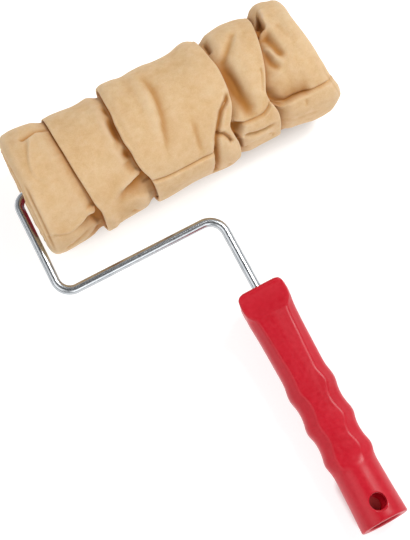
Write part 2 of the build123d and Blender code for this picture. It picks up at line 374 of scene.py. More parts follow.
def make_nylon():
    m = Mat("nylon")
    c = m.noise(90.0, 3.0, 0.5)
    f = m.noise(800.0, 3.0, 0.6)
    m.link(m.ramp(c, [(0.3, lin(222, 216, 200)), (0.7, lin(236, 232, 220))]), m.b.inputs["Base Color"])
    m.link(m.ramp(f, [(0.3, 0.38), (0.7, 0.5)]), m.b.inputs["Roughness"])
    m.set(sss=0.15, sss_radius=(1, 0.9, 0.7), sss_scale=0.001)
    m.link(m.bump(f, 0.08, 0.0001), m.b.inputs["Normal"])
    return m.m


def make_core():
    m = Mat("core_board")
    wind = m.node("ShaderNodeTexWave", wave_type="BANDS", bands_direction="X")
    wind.inputs["Scale"].default_value = 9.0
    wind.inputs["Distortion"].default_value = 1.2
    wind.inputs["Detail"].default_value = 3.0
    m.link(m.mapping(rot=(0.0, 0.0, 0.5)), wind.inputs["Vector"])
    fib = m.noise(900.0, 5.0, 0.65, vec=m.mapping(scale=(0.3, 1, 1)))
    tone = m.mix(0.5, m.ramp(wind.outputs["Fac"], [(0.2, lin(120, 92, 64)), (0.8, lin(142, 112, 80))]), m.ramp(fib, [(0.3, lin(108, 80, 54)), (0.7, lin(158, 126, 92))]))
    m.link(tone, m.b.inputs["Base Color"])
    m.link(m.ramp(fib, [(0.3, 0.7), (0.7, 0.9)]), m.b.inputs["Roughness"])
    m.link(m.bump(fib, 0.2, 0.0002), m.b.inputs["Normal"])
    return m.m


def make_foam():
    m = Mat("padding_foam")
    cell = m.node("ShaderNodeTexVoronoi")
    cell.inputs["Scale"].default_value = 900.0
    m.link(m.coords(), cell.inputs["Vector"])
    cl = m.noise(60.0, 3.0, 0.5)
    m.link(m.mix(0.4, m.ramp(cl, [(0.3, lin(226, 210, 150)), (0.7, lin(240, 228, 176))]), m.ramp(cell.outputs["Distance"], [(0.1, lin(180, 158, 100)), (0.5, lin(244, 234, 190))])), m.b.inputs["Base Color"])
    m.set(rough=0.95, spec=0.1)
    m.link(m.bump(cell.outputs["Distance"], 0.5, 0.0004), m.b.inputs["Normal"])
    return m.m


def make_floor():
    """White sweep that glows evenly, with painted shadow: it glows less right under the tool, and under the hanging
    hole it is painted dark red as shade.
    """
    m = Mat("studio_floor")
    n = m.noise(3.0, 2.0, 0.5)
    m.set(rough=0.9, spec=0.0)
    sep = m.node("ShaderNodeSeparateXYZ")
    m.link(m.coords(), sep.inputs[0])

    def under(x0, x1, y0, y1, soft):
        """1 inside the rectangle, 0 outside, in metres."""
        cx, cy = (x0 + x1) / 2, (y0 + y1) / 2
        dx = m.math("SUBTRACT", m.math("ABSOLUTE", m.math("SUBTRACT", sep.outputs[0], cx)), (x1 - x0) / 2 - soft)
        dy = m.math("SUBTRACT", m.math("ABSOLUTE", m.math("SUBTRACT", sep.outputs[1], cy)), (y1 - y0) / 2 - soft)
        dx, dy = m.math("MAXIMUM", dx, 0.0), m.math("MAXIMUM", dy, 0.0)
        d = m.math("SQRT", m.math("ADD", m.math("MULTIPLY", dx, dx), m.math("MULTIPLY", dy, dy)))
        return m.math("SUBTRACT", 1.0, m.math("DIVIDE", d, soft, clamp=True), clamp=True)

    # painted shadow: the glow fades out under the roller and under the handle's tail
    roller = under(-0.100, 0.106, (AX_Y - 35) * MM, (AX_Y + 25) * MM, 0.020)
    tail = under(han_lo[0] + 0.001, han_hi[0] - 0.001, han_lo[1] + 0.001, han_lo[1] + 0.044, 0.012)
    tail = m.math("MULTIPLY", tail, 1.7, clamp=True)
    shade = m.math("MAXIMUM", roller, tail)
    # painted shade: dark red floor colour under the hanging hole, reddened as if by light off the handle
    m.link(m.mix(tail, m.ramp(n, [(0.3, (0.50, 0.50, 0.50, 1)), (0.7, (0.52, 0.52, 0.52, 1))]), (0.57, 0.08, 0.08, 1)), m.b.inputs["Base Color"])
    m.link(m.math("SUBTRACT", 0.72, m.math("MULTIPLY", shade, 0.72)), m.b.inputs["Emission Strength"])
    m.b.inputs["Emission Color"].default_value = (1, 1, 1, 1)
    return m.m


MAT = {
    "chamois": make_chamois(),
    "red": make_red("handle_red", lin(202, 9, 36), lin(188, 6, 29)),
    # painted shade: the end caps get the handle's red made darker, for the shaded recess they sit in
    "cap": make_red("cap_red_painted_shade", lin(168, 16, 34), lin(150, 11, 27)),
    "zinc": make_zinc(),
    "cage_steel": make_steel("cage_steel"),
    "washer": make_steel("washer_steel", (182, 184, 188), (0.22, 0.38)),
    "nylon": make_nylon(),
    "core": make_core(),
    "foam": make_foam(),
    "floor": make_floor(),
}


def dress(ob, mat):
    ob.data.materials.clear()
    ob.data.materials.append(mat)
    for p in ob.data.polygons:
        p.material_index = 0


# ---------------------------------------------------------------------------
# Chamois cover
#
# The hide lies round the sleeve in five broad bands.  Along the axle each row of the
# grid has one job in every column: mouth, rounded end, band, fold, band and so on, so
# that a fold is a real doubled edge that lies over the band beside it.
# Angles are in degrees from the top, towards the handle.
# ---------------------------------------------------------------------------
SR = 39.0 * math.pi / 180      # millimetres of surface in a degree

# bands' outer radius seen from above: x, radius on the far side, radius on the near side
SIDE_BACK = [(-104, 36.5), (-98, 37.9), (-91, 39.6), (-84, 39.4), (-76, 38.4), (-69, 37.4), (-61, 37.3), (-54, 36.9), (-46, 36.5), (-39, 37.4), (-31.5, 38.2),
             (-27.5, 41.3), (-20, 41.5), (-13, 40.1), (-5, 40.9), (2, 41.0), (10, 39.9), (21, 40.1), (32, 41.6), (40, 39.2), (48, 41.0), (55.5, 42.0), (63, 41.7), (71, 40.2),
             (75, 39.0), (78.2, 41.6), (80.5, 43.4), (86, 44.0), (91.5, 42.6), (95, 41.2), (99, 39.0), (106, 36.0)]
SIDE_NEAR = [(-104, 36.5), (-100, 38.8), (-93, 41.9), (-86, 42.4), (-80, 41.8), (-67, 42.0), (-59, 42.6), (-52, 41.0), (-29, 39.9), (-22, 40.7), (1, 38.8), (18, 39.4), (28, 39.6), (36, 37.2),
             (43, 36.2), (62, 35.6), (74, 35.4), (90, 37.6), (101, 36.6), (108, 34.0)]

LINE1 = {-150: -66.0, -110: -67.5, -57: -68.2, -20: -69.1, 0: -68.8, 22: -67.9, 35: -66.9, 47: -65.8, 59: -64.7, 69: -62.8, 86: -62.5, 120: -61.5, 170: -63.5}
LINE2 = {-150: -29.0, -110: -28.6, -67: -29.6, -45: -30.8, -30: -31.7, -13: -32.2, -2.7: -33.2, 8: -33.4, 17: -33.5, 27.5: -32.3, 38.5: -31.8, 48.5: -30.4, 60: -27.4, 73: -26.3, 97: -25.4, 135: -24.8, 175: -27.0}
LINE3 = {-150: 37.0, -110: 39.0, -67: 39.0, -50: 38.3, -23: 38.2, -6: 39.0, 12: 38.2, 23: 37.2, 32: 35.5, 40: 32.6, 47: 30.0, 56: 30.6, 68: 32.2, 81: 32.8, 104: 33.2, 135: 33.0, 175: 35.0}
LINE5 = {-150: 73.0, -110: 75.5, -67: 75.2, -44: 74.0, -19: 70.6, -5: 68.1, 6: 65.9, 15: 63.8, 25: 60.8, 33: 58.6, 41: 58.9, 48: 60.3, 55: 61.5, 71: 62.0, 94: 62.6, 130: 66.0, 175: 71.0}
END_L = {-150: -98.5, -110: -98.6, -67: -99.5, -32: -101.0, 0: -101.3, 18: -101.5, 30: -101.7, 62: -101.3, 85: -100.9, 109: -100.1, 140: -99.0, 175: -99.0}
END_R = {-150: 101.0, -110: 99.5, -67: 99.0, -43: 98.6, -19: 97.2, 10: 98.6, 45: 102.0, 72: 106.2, 87: 105.6, 109: 103.0, 140: 103.5, 175: 103.0}

BANDS = 5
ROWS_MOUTH, ROWS_WRAP, ROWS_FOLD = 5, 23, 21
ROWS_BAND = [34, 38, 58, 42, 42]
COLS = 270

wide_noise = Field(11, 26.0, 9)
mid_noise = Field(12, 11.0, 24)
fine_noise = Field(13, 4.5, 60)
ripple_noise = Field(14, 60.0, 40)


def poly_dist(x, phi, pts):
    """Distance in mm from (x, phi) to a polyline of (x, degrees), its signed side, and the share of the way along it."""
    px, py = np.asarray(x, float), np.asarray(phi, float)
    py = ((py + 180.0) % 360.0) - 180.0
    best = np.full(np.broadcast(px, py).shape, 1e9)
    side = np.zeros_like(best)
    along = np.zeros_like(best)
    P = np.array(pts, float)
    seg = np.hypot(np.diff(P[:, 0]), np.diff(P[:, 1]) * SR)
    total, done = seg.sum(), 0.0
    for k in range(len(P) - 1):
        ax, ay = P[k, 0], P[k, 1] * SR
        bx, by = P[k + 1, 0], P[k + 1, 1] * SR
        dx, dy = bx - ax, by - ay
        L2 = dx * dx + dy * dy
        qx, qy = px - ax, py * SR - ay
        t = np.clip((qx * dx + qy * dy) / L2, 0, 1)
        d = np.hypot(qx - t * dx, qy - t * dy)
        s = np.sign(dx * qy - dy * qx)
        take = d < best
        best = np.where(take, d, best)
        side = np.where(take, s, side)
        along = np.where(take, (done + t * seg[k]) / total, along)
        done += seg[k]
    return best, side, along


def crease_line(x, phi, pts, depth, width, fade=0.18):
    """A valley (depth > 0) or a ridge (depth < 0) along a line, fading at both ends."""
    d, _, a = poly_dist(x, phi, pts)
    w = smooth(0, fade, a) * smooth(0, fade, 1 - a) if fade > 0 else 1.0
    return -depth * np.exp(-((d / width) ** 2)) * w


def tuck(x, phi, pts, depth, sharp, slow, fade=0.15):
    """A dip with a steep side (to the left of the line, top to bottom) and a slow one; negative slow swaps them."""
    d, side, a = poly_dist(x, phi, pts)
    s = -side * d * (1 if slow > 0 else -1)
    w = smooth(0, fade, a) * smooth(0, fade, 1 - a) if fade > 0 else 1.0
    return -depth * np.where(s > 0, np.exp(-s / abs(slow)), np.exp(-((s / sharp) ** 2))) * w


def blob(x, phi, x0, p0, rx, rp, height, turn=0.0, power=2.0):
    """A bump of radii rx mm along the axle and rp mm round it."""
    dx = np.asarray(x, float) - x0
    dy = (((np.asarray(phi, float) - p0 + 180.0) % 360.0) - 180.0) * SR
    c, s = math.cos(math.radians(turn)), math.sin(math.radians(turn))
    q = np.abs((dx * c + dy * s) / rx) ** power + np.abs((-dx * s + dy * c) / rp) ** power
    return height * np.exp(-q)


def patch(x, phi, pts, depth, soft):
    """A hollow with a flat bottom inside a convex outline of (x, degrees)."""
    P = np.array(pts, float) * np.array([1.0, SR])
    turn = np.sign(sum(P[i - 1][0] * P[i][1] - P[i][0] * P[i - 1][1] for i in range(len(P))))
    py = (((np.asarray(phi, float) + 180.0) % 360.0) - 180.0) * SR
    w = 1.0
    for i in range(len(P)):
        (ax, ay), (bx, by) = P[i - 1], P[i]
        length = math.hypot(bx - ax, by - ay)
        s = turn * ((bx - ax) * (py - ay) - (by - ay) * (np.asarray(x, float) - ax)) / length
        w = w * smooth(-soft / 2, soft / 2, s)
    return -depth * w


def base_radius(x, phi):
    back = hermite([k[0] for k in SIDE_BACK], [k[1] for k in SIDE_BACK], x)
    near = hermite([k[0] for k in SIDE_NEAR], [k[1] for k in SIDE_NEAR], x)
    knots = [-150, -105, -67, -25, 20, 60, 109, 150, 180]
    vals = [38.6, 38.8, back, 0.45 * back + 21.6, 0.25 * back + 0.15 * near + 23.8, 0.35 * near + 25.6, near, 38.3, 38.2]
    r = 0.0
    for i, v in enumerate(vals):
        unit = [0.0] * len(knots)
        unit[i] = 1.0
        r = r + hermite(knots, unit, phi, period=360.0) * v
    return r


SEAM = [  # the hem line's angle, in each band from its left to its right
    [(0.0, 70.0), (0.2, 73.1), (0.4, 73.0), (0.62, 69.2), (0.81, 64.5), (1.0, 61.2)],
    [(0.0, 61.5), (1.0, 64.6)],
    [(0.0, 65.0), (0.1, 66.1), (0.22, 67.1), (0.55, 67.0), (0.7, 66.2), (1.0, 50.0)],
    [(0.0, 40.0), (0.1, 43.0), (0.2, 49.0), (0.4, 52.8), (0.67, 52.7), (0.82, 49.9), (1.0, 45.5)],
    [(0.0, 46.5), (0.1, 52.0), (0.25, 52.7), (0.45, 51.6), (0.6, 52.4), (1.0, 52.3)],
]
SEAM_STEP = [0.0, 0.0, 1.3, 1.5, 1.6]


def seam_step(x, phi, seam, amount):
    """The hem strip stands proud below its line, with a thin groove above it."""
    d = (((phi - seam + 180.0) % 360.0) - 180.0) * SR
    back = smooth(0.0, 1.0, (d + 0.9) / 1.4)
    away = 1.0 - smooth(7.0, 26.0, d)
    rise = amount * back * away * (d > -4)
    groove = -0.75 * amount * np.exp(-(((d + 1.1) / 0.9) ** 2))
    return rise + groove


def plain_height(k, x, phi):
    """Radius of band k without its folds and tucks."""
    return base_radius(x, phi) + 0.55 * wide_noise(x, phi + 37 * k) + 0.30 * mid_noise(x + 50 * k, phi) + 0.07 * fine_noise(x, phi)


def band_height(k, x, phi, seam):
    """Outer radius of band k at (x, phi)."""
    h = plain_height(k, x, phi)
    if SEAM_STEP[k]:
        part = (1 - smooth(14.0, 18.0, x)) if k == 2 else 1.0
        h = h + seam_step(x, phi, seam, SEAM_STEP[k]) * part
    p = ((phi + 180.0) % 360.0) - 180.0
    if k == 0:
        # flap that lies on the end lobe: its top edge, its left edge and the valley above it
        d, side, along = poly_dist(x, p, [(-60, -28), (-71, -30.4), (-78, -30.2), (-83.6, -27.2), (-86.8, -16), (-89.8, -6), (-91.3, 2), (-91.2, 9), (-89, 17), (-84, 25), (-76, 31)])
        inside = -side * d
        strength = 1 - 0.75 * smooth(0.42, 0.72, along)
        h = h + 1.8 * strength * smooth(-0.5, 1.0, inside / 1.1) * np.exp(-np.maximum(inside, 0) / 16.0) * (1 - smooth(0.75, 1.0, along))
        h = h + crease_line(x, p, [(-63, -35.5), (-71, -35.2), (-78, -35), (-84.5, -32.2), (-89, -29.5)], 1.9, 2.0, 0.10)
        h = h + crease_line(x, p, [(-60, -52), (-76, -49), (-92, -46)], -1.4, 5.5, 0.2)
        h = h + blob(x, p, -77, 8, 9, 17, 0.7)
        h = h + blob(x, p, -80, 46, 9, 13, 0.8)
        # lower flap ends at the hem line; the strip below comes out from under it, hollow beside the next band
        hem = [(-100, 64.5), (-92.5, 69.9), (-86.3, 73.1), (-80.8, 73.0), (-74.8, 69.2), (-69.9, 64.5), (-63.0, 59.5)]
        deep = 0.7 + 4.6 * smooth(-84, -66, x)
        d, side, along = poly_dist(x, p, hem)
        s = side * d
        h = h - deep * np.where(s > 0, np.exp(-s / (2.2 + 4.6 * smooth(-84, -66, x))), np.exp(-((s / 0.9) ** 2)))
        h = h + 0.5 * np.exp(-(((s + 2.2) / 1.8) ** 2))
        h = h + patch(x, p, [(-65.5, 59.5), (-60.5, 62), (-60.5, 84), (-66, 85), (-70.5, 71.5)], 3.0, 2.2)
        h = h + blob(x, p, -66.5, 101, 6.5, 10, -3.0)
        h = h + crease_line(x, p, [(-72, 82), (-79, 88), (-86, 93), (-92, 96)], 1.0, 2.0)
        h = h + crease_line(x, p, [(-66, 92), (-72, 98), (-80, 106)], 1.1, 2.4)
        h = h + crease_line(x, p, [(-96.5, 30), (-97.0, 46), (-96, 60), (-94.5, 72)], 0.8, 0.9)
    elif k == 1:
        h = h + blob(x, p, -50, 10, 16, 26, 0.5)
        # scalloped tucks where the next band rides over this one
        h = h + blob(x, p, -34.2, -22, 1.6, 4.4, -2.0)
        h = h + blob(x, p, -35.6, 1, 2.0, 8.0, -4.6, 4, 2.6)
        h = h + blob(x, p, -34.8, 28, 2.9, 3.4, -4.6)
        h = h + crease_line(x, p, [(-39.2, -12), (-39.6, 2), (-38.0, 16)], -0.6, 1.8)
        h = h + crease_line(x, p, [(-36.5, 33), (-36.6, 41), (-35, 48)], 1.5, 3.4, 0.2)
        # deep tuck low down, running out from under the next band
        d, side, along = poly_dist(x, p, [(-22, 45), (-29.4, 49.4), (-35.2, 53.5), (-41.5, 57.4), (-45.7, 61.4), (-48.0, 68), (-48.6, 80)])
        s = -side * d
        keep = smooth(0.0, 0.12, along) * (1 - 0.92 * smooth(0.38, 0.92, along))
        lip = 1.3 + 5.0 * smooth(0.45, 0.95, along)
        h = h - 4.9 * keep * np.where(s > 0, np.exp(-s / (9.0 + 4.0 * along)), np.exp(-((s / lip) ** 2)))
        h = h + crease_line(x, p, [(-31, 43), (-38, 49.5), (-44, 55), (-49, 61)], -0.9, 3.2, 0.25)
        h = h + blob(x, p, -37, 84, 5, 9, 1.4)
        h = h + crease_line(x, p, [(-44, 86), (-41, 97), (-37, 108)], 1.2, 1.8, 0.2)
        h = h + crease_line(x, p, [(-60, 72), (-57, 88), (-56, 104)], -0.9, 3.6)
    elif k == 2:
        h = h + tuck(x, p, [(-4.2, -44), (-3.9, -27), (-3.7, -13), (-4.6, -1), (-6, 10), (-8.3, 21), (-10.8, 36), (-12, 52)], 1.8, 1.6, 4.6, 0.34)
        h = h + crease_line(x, p, [(-10.5, -66), (-10, -30), (-9.8, -10), (-12, 12), (-15, 32)], -1.0, 4.0, 0.2)
        h = h + tuck(x, p, [(9.9, 20), (9.2, 31), (8.5, 38), (8.1, 47), (6.9, 62)], 1.2, 1.2, 2.8, 0.4)
        h = h + crease_line(x, p, [(24, -30), (25, 0), (24, 20)], -0.5, 7.0)
        h = h + blob(x, p, 31, -55, 8, 12, 0.9)
        # right edge splits: a sharp valley, a rib beyond it and a puckered knob below
        h = h + crease_line(x, p, [(36.6, 16), (34.3, 22.8), (27.8, 30.7), (23.5, 40.4), (19.1, 52.6), (16.5, 68), (15.0, 93), (15.5, 112)], 3.4, 1.35, 0.07)
        h = h + tuck(x, p, [(17.5, 57), (16.4, 68), (15.0, 93), (15.5, 110)], 2.4, 0.8, 2.6, 0.15)
        h = h + crease_line(x, p, [(33.8, 29), (30.0, 37.5), (25.6, 45.5)], 0.5, 2.0, 0.2)
        h = h + blob(x, p, 24.8, 76, 7.6, 13.0, 2.3, 0, 2.8)
        h = h + crease_line(x, p, [(19.6, 47.5), (22.5, 49.4), (24.6, 50.6), (26.6, 56), (27.8, 63)], 3.2, 1.1, 0.10)
        h = h + crease_line(x, p, [(21, 86), (24, 92), (25, 101)], 0.8, 1.6, 0.2)
    elif k == 3:
        # sausage that runs down to the right, with a deep groove on its left
        h = h + crease_line(x, p, [(41.2, -22), (42.2, -6), (42.5, 8), (43.0, 20), (43.8, 30), (44.6, 42), (46.2, 55)], 3.6, 4.2, 0.26)
        h = h + blob(x, p, 42.2, 13, 3.4, 11.0, -2.2, -3)
        h = h + crease_line(x, p, [(60, -54), (57, -20), (54, 4), (52.5, 24), (54, 44)], -1.2, 6.0, 0.2)
        h = h + crease_line(x, p, [(60, -36), (55, -27), (50.9, -20.1), (45.4, -13), (40.5, -9.5)], 1.7, 2.6, 0.2)
        h = h + blob(x, p, 47, -36, 6, 9, 0.9)
        h = h + crease_line(x, p, [(42.0, -50), (41.6, -44), (41.2, -37), (40.0, -27)], 3.0, 1.3, 0.2)
        h = h + crease_line(x, p, [(62.0, 8), (60.8, 17), (58.0, 26), (56.0, 32)], 0.9, 0.8, 0.2)
        h = h + crease_line(x, p, [(31.0, 61), (35, 62.0), (39.8, 63.9), (45.1, 66.6), (50.5, 68), (60, 66)], 2.1, 1.5, 0.26)
        h = h + crease_line(x, p, [(34, 70), (44, 73.5), (56, 74)], -0.7, 2.4, 0.2)
        h = h + patch(x, p, [(30.5, 45), (38.2, 50.6), (30.5, 67)], 5.2, 3.4)
        h = h + patch(x, p, [(30.5, 58), (34.6, 63), (34.4, 79), (30.5, 84)], 3.4, 2.0)
        h = h + blob(x, p, 45, 59, 9.5, 4.6, 1.1)
        h = h + crease_line(x, p, [(52, 76), (56, 84), (57, 94)], 0.7, 1.4, 0.2)
    else:
        # curled top, open hollow, dimples and a deep recess under the hem
        h = h + blob(x, p, 88, -48, 10, 8, 1.0, 0, 2.4)
        h = h + crease_line(x, p, [(81.5, -46), (80.2, -34), (79.0, -24), (80.5, -14)], -1.5, 2.6, 0.2)
        h = h + patch(x, p, [(79.8, -46.5), (77.4, -21.8), (70.0, -17.5), (69.5, -26), (72.4, -33)], 8.0, 1.6)
        h = h + crease_line(x, p, [(77.0, -60), (76.0, -50), (74.2, -39)], -1.3, 2.4, 0.2)
        h = h + crease_line(x, p, [(73.2, -22), (74.9, -17.5), (75.5, -8), (76.5, 4), (79.2, 14)], 2.7, 2.7, 0.24)
        h = h + crease_line(x, p, [(69.6, -8), (71.6, 0), (74.4, 10), (76.2, 19)], -0.9, 1.7, 0.2)
        h = h + crease_line(x, p, [(68.2, -6), (69.2, 1), (69.8, 11), (72.8, 22)], 2.5, 2.5, 0.24)
        h = h + crease_line(x, p, [(84, -24), (86, -8), (88, 10)], 0.8, 2.6, 0.2)
        h = h + crease_line(x, p, [(92.8, -30), (90.5, -8), (90.1, 8.5), (91.6, 26)], -1.0, 4.4, 0.2)
        h = h + crease_line(x, p, [(98.5, -30), (98, -5), (100, 20)], 0.6, 2.4, 0.2)
        h = h + tuck(x, p, [(60, 20), (59.3, 30), (60.0, 40), (63.0, 46.8), (69, 49.8), (78, 50.2), (88, 51)], 3.4, 1.2, 8.0, 0.16)
        h = h + blob(x, p, 78, 24, 8, 10, 0.8)
        h = h + crease_line(x, p, [(56.5, 42), (60.2, 48.5), (63.5, 53.6), (68, 55)], -1.0, 1.4, 0.2)
        h = h + crease_line(x, p, [(80.6, 54), (80.4, 60), (79.5, 65)], 0.9, 1.0, 0.25)
        h = h + blob(x, p, 97, 70, 9, 8, 1.0)
        h = h + crease_line(x, p, [(63, 72), (76, 77), (90, 80)], 0.5, 2.6, 0.2)
    # the side away from the camera: the same kind of soft folds, laid round
    for px, lo, hi, dep, wid in BACK_CREASES[k]:
        mid = (lo + hi) / 2
        q = ((phi - mid + 180.0) % 360.0) - 180.0
        w = smooth(0, 1, ((hi - lo) / 2 - np.abs(q)) / 14.0)
        cx = px + 1.8 * np.sin(np.radians(phi * 2.3 + px)) + 0.9 * np.sin(np.radians(phi * 5.1))
        h = h - dep * np.exp(-(((x - cx) / wid) ** 2)) * w
    return h


BACK_CREASES = [
    [(-86, 120, 200, 1.4, 2.6), (-78, 170, 275, -1.0, 3.4), (-91, 205, 280, 1.0, 2.2)],
    [(-52, 125, 215, 1.5, 2.8), (-43, 160, 262, -0.9, 4.0), (-36, 200, 270, 1.2, 2.4)],
    [(-14, 118, 205, 1.4, 2.8), (-2, 150, 250, -1.0, 4.2), (12, 130, 230, 1.6, 2.9), (24, 190, 275, 1.2, 2.6)],
    [(46, 112, 200, 1.8, 2.8), (55, 140, 240, -1.0, 3.6), (64, 205, 272, 1.3, 2.4)],
    [(78, 118, 205, 1.5, 2.6), (87, 150, 250, -1.1, 3.6), (94, 190, 270, 1.2, 2.6)],
]

# folds: line, whether the band on its right lies on top, least step in height, overlap
STEP1 = {-150: 2.0, -110: 1.8, -67: 1.8, -30: 2.2, 10: 2.4, 40: 2.8, 62: 3.6, 80: 5.4, 95: 5.2, 125: 3.0, 170: 2.2}
STEP2 = {-150: 2.4, -110: 3.0, -67: 3.6, -40: 3.0, -20: 3.2, 0: 4.2, 16: 3.4, 28: 4.6, 50: 4.0, 62: 5.0, 75: 5.0, 105: 4.2, 135: 3.0, 175: 2.2}
STEP3 = {-150: 2.2, -110: 2.6, -67: 2.6, -40: 3.2, -10: 3.0, 10: 4.2, 25: 4.4, 40: 4.6, 52: 4.6, 70: 4.0, 100: 3.0, 135: 2.6, 175: 2.2}
STEP5 = {-150: 2.4, -110: 2.4, -67: 2.4, -35: 3.0, 0: 3.2, 25: 3.8, 45: 4.4, 66: 4.2, 94: 3.2, 130: 2.6, 175: 2.2}
FOLDS = [(LINE1, True, STEP1, 6.5), (LINE2, True, STEP2, 7.5), (LINE3, False, STEP3, 7.5), (LINE5, False, STEP5, 7.0)]


def column_angles():
    """Angles from the hem line, closer together near it."""
    t = np.arange(COLS) / COLS
    fine = np.linspace(0, 1, 4001)
    a = (fine - 0.5) * 360.0
    density = 1.0 + 2.2 * np.exp(-((a / 7.0) ** 2)) + 0.35 * np.exp(-(((a + 75) / 60.0) ** 2))
    cum = np.concatenate([[0], np.cumsum((density[1:] + density[:-1]) / 2)])
    cum /= cum[-1]
    return np.interp(t, cum, a)


def build_chamois():
    rel = column_angles()
    n = COLS

    def band_seam(k, q):
        ks = SEAM[k]
        return hermite([a for a, _ in ks], [b for _, b in ks], q)

    rows_x, rows_r, rows_phi, rows_c, rows_deep_shade = [], [], [], [], []

    def put(x, r, phi, crease_shade, deep=0.0):
        rows_deep_shade.append(np.broadcast_to(deep, (n,)).astype(float))
        rows_x.append(np.broadcast_to(x, (n,)).astype(float))
        rows_r.append(np.broadcast_to(r, (n,)).astype(float))
        rows_phi.append(np.broadcast_to(phi, (n,)).astype(float))
        rows_c.append(np.broadcast_to(crease_shade, (n,)).astype(float))

    def ends(k, phi):
        """Where band k begins and ends, at its visible edges."""
        lo = around(END_L, phi) + 7.0 if k == 0 else around(FOLDS[k - 1][0], phi)
        hi = around(END_R, phi) - 7.0 if k == BANDS - 1 else around(FOLDS[k][0], phi)
        return lo, hi

    def wrap(side):
        """Rounded end and gathered mouth: from the band's edge inwards (side -1 left, +1 right)."""
        k = 0 if side < 0 else BANDS - 1
        q = 0.0 if side < 0 else 1.0
        phi = band_seam(k, q) + rel
        line = around(END_L if side < 0 else END_R, phi)
        edge_x = line - side * 7.0
        r0 = band_height(k, edge_x, phi, phi - rel)
        out = []
        pleat = 0.6 * np.sin(np.radians(phi) * 13 + 2.1 * np.sin(np.radians(phi) * 3 + side)) + 0.4 * np.sin(np.radians(phi) * 21 + side)
        mouth_r = 26.6 + 0.5 * pleat
        stop_x = (CORE_X0 - 0.2) if side < 0 else (CORE_X1 + 0.2)
        for i in range(1, ROWS_WRAP + 1):
            a = i / ROWS_WRAP
            if a <= 0.45:            # outer corner
                t = a / 0.45 * math.pi / 2
                x = edge_x + side * 6.2 * math.sin(t) ** 0.9
                r = r0 - 6.5 * (1 - math.cos(t))
            elif a <= 0.8:           # end face
                t = (a - 0.45) / 0.35
                x = edge_x + side * (6.2 + 0.5 * math.sin(t * math.pi) + 0.8 * t * 0 + 0.5 * pleat * t)
                r = (r0 - 6.5) * (1 - t) + (mouth_r + 2.2) * t
            else:                    # lip of the mouth
                t = (a - 0.8) / 0.2 * math.pi / 2
                x = edge_x + side * (6.2 + 0.5 * pleat - 2.4 * (1 - math.cos(t)))
                r = mouth_r + 2.2 * (1 - math.sin(t))
            ring = 0.9 * np.exp(-(((r - 33.0 - 0.6 * np.sin(np.radians(phi * 2 + 40))) / 0.7) ** 2)) + 0.7 * np.exp(-(((r - 30.0 + 0.5 * np.sin(np.radians(phi * 3))) / 0.7) ** 2))
            x = x - side * ring * (a > 0.3)
            pp = ((phi + 180.0) % 360.0) - 180.0
            spread = smooth(8, 24, pp) * (1 - smooth(74, 100, pp)) if side < 0 else 0.35 * smooth(20, 50, pp)
            rim = spread * (math.exp(-(((a - 0.17) / 0.035) ** 2)) + 0.8 * math.exp(-(((a - 0.33) / 0.035) ** 2)))
            r = r - 0.9 * rim
            x = x - side * 0.5 * rim
            # painted shade on the rim's rings and lines and on the mouth's lip
            out.append((x, r, phi, 0.35 * np.clip(ring, 0, 1) + 0.15 * (a > 0.7) + 0.6 * rim))
        xm = out[-1][0]
        for i in range(1, ROWS_MOUTH + 1):
            a = i / ROWS_MOUTH
            # painted shade, deeper towards the inside of the mouth
            out.append((xm * (1 - a) + stop_x * a, mouth_r - 1.2 * a, phi, 0.25 + 0.5 * a))
        return out

    def lifted(h):
        """Keeps the outer side clear of the hide's inner side."""
        return np.where(h < 34.6, 33.4 + 1.2 * np.exp(np.minimum((h - 34.6) / 1.2, 0)), h)

    def dive(k, x, phi, seam):
        """Band height, with the band going under its neighbour's edge where that lies on top, and the share of painted
        crease shade beside that edge.
        """
        h = band_height(k, x, phi, seam)
        lo, hi = ends(k, phi)
        crease_shade = 0.0
        if k > 0:
            line, right_on_top, step, _ = FOLDS[k - 1]
            if not right_on_top:      # this band is the lower one, its left side dives
                up = band_height(k - 1, lo, phi, seam)
                want = up - around(step, phi)
                w = 1 - smooth(0, 9.0, x - lo)
                low = h + (want - band_height(k, lo, phi, seam)) * w
                h = low
                # painted shade next to the edge of the band that lies on top
                crease_shade = crease_shade + 0.75 * np.exp(-np.maximum(x - lo, 0) / 1.3) + 0.38 * np.exp(-np.maximum(x - lo, 0) / 4.5)
        if k < BANDS - 1:
            line, right_on_top, step, _ = FOLDS[k]
            if right_on_top:
                up = band_height(k + 1, hi, phi, seam)
                want = up - around(step, phi)
                w = 1 - smooth(0, 9.0, hi - x)
                low = h + (want - band_height(k, hi, phi, seam)) * w
                h = low
                # painted shade next to the edge of the band that lies on top
                crease_shade = crease_shade + 0.75 * np.exp(-np.maximum(hi - x, 0) / 1.3) + 0.38 * np.exp(-np.maximum(hi - x, 0) / 4.5)
        return lifted(h), crease_shade

    # left end, from the mouth outwards
    for x, r, phi, c in reversed(wrap(-1)):
        put(x, r, phi, c)

    for k in range(BANDS):
        m = ROWS_BAND[k]
        for i in range(m):
            q = i / (m - 1)
            phi = band_seam(k, q) + rel
            lo, hi = ends(k, phi)
            # rows gather a little towards both edges of the band
            qq = q + 0.055 * math.sin(2 * math.pi * q) * -1.0
            x = lo + (hi - lo) * qq
            # an upper band starts where its rounded edge ends
            r_edge = 1.25
            if k > 0 and FOLDS[k - 1][1]:
                x = np.maximum(x, lo + r_edge * (1 + 0.0 * x)) if i == 0 else lo + r_edge + (hi - lo - r_edge) * qq
            if k < BANDS - 1 and not FOLDS[k][1]:
                lo2 = lo + (r_edge if (k > 0 and FOLDS[k - 1][1]) else 0.0)
                x = lo2 + (hi - r_edge - lo2) * qq
            h, c = dive(k, x, phi, phi - rel)
            # painted shade: how far the band dips below its plain height sets the deep attribute
            under = plain_height(k, x, phi) - band_height(k, x, phi, phi - rel)
            put(x, h, phi, c, np.clip((under - 0.35) / 3.4, 0, 1) ** 0.9)
        if k == BANDS - 1:
            break
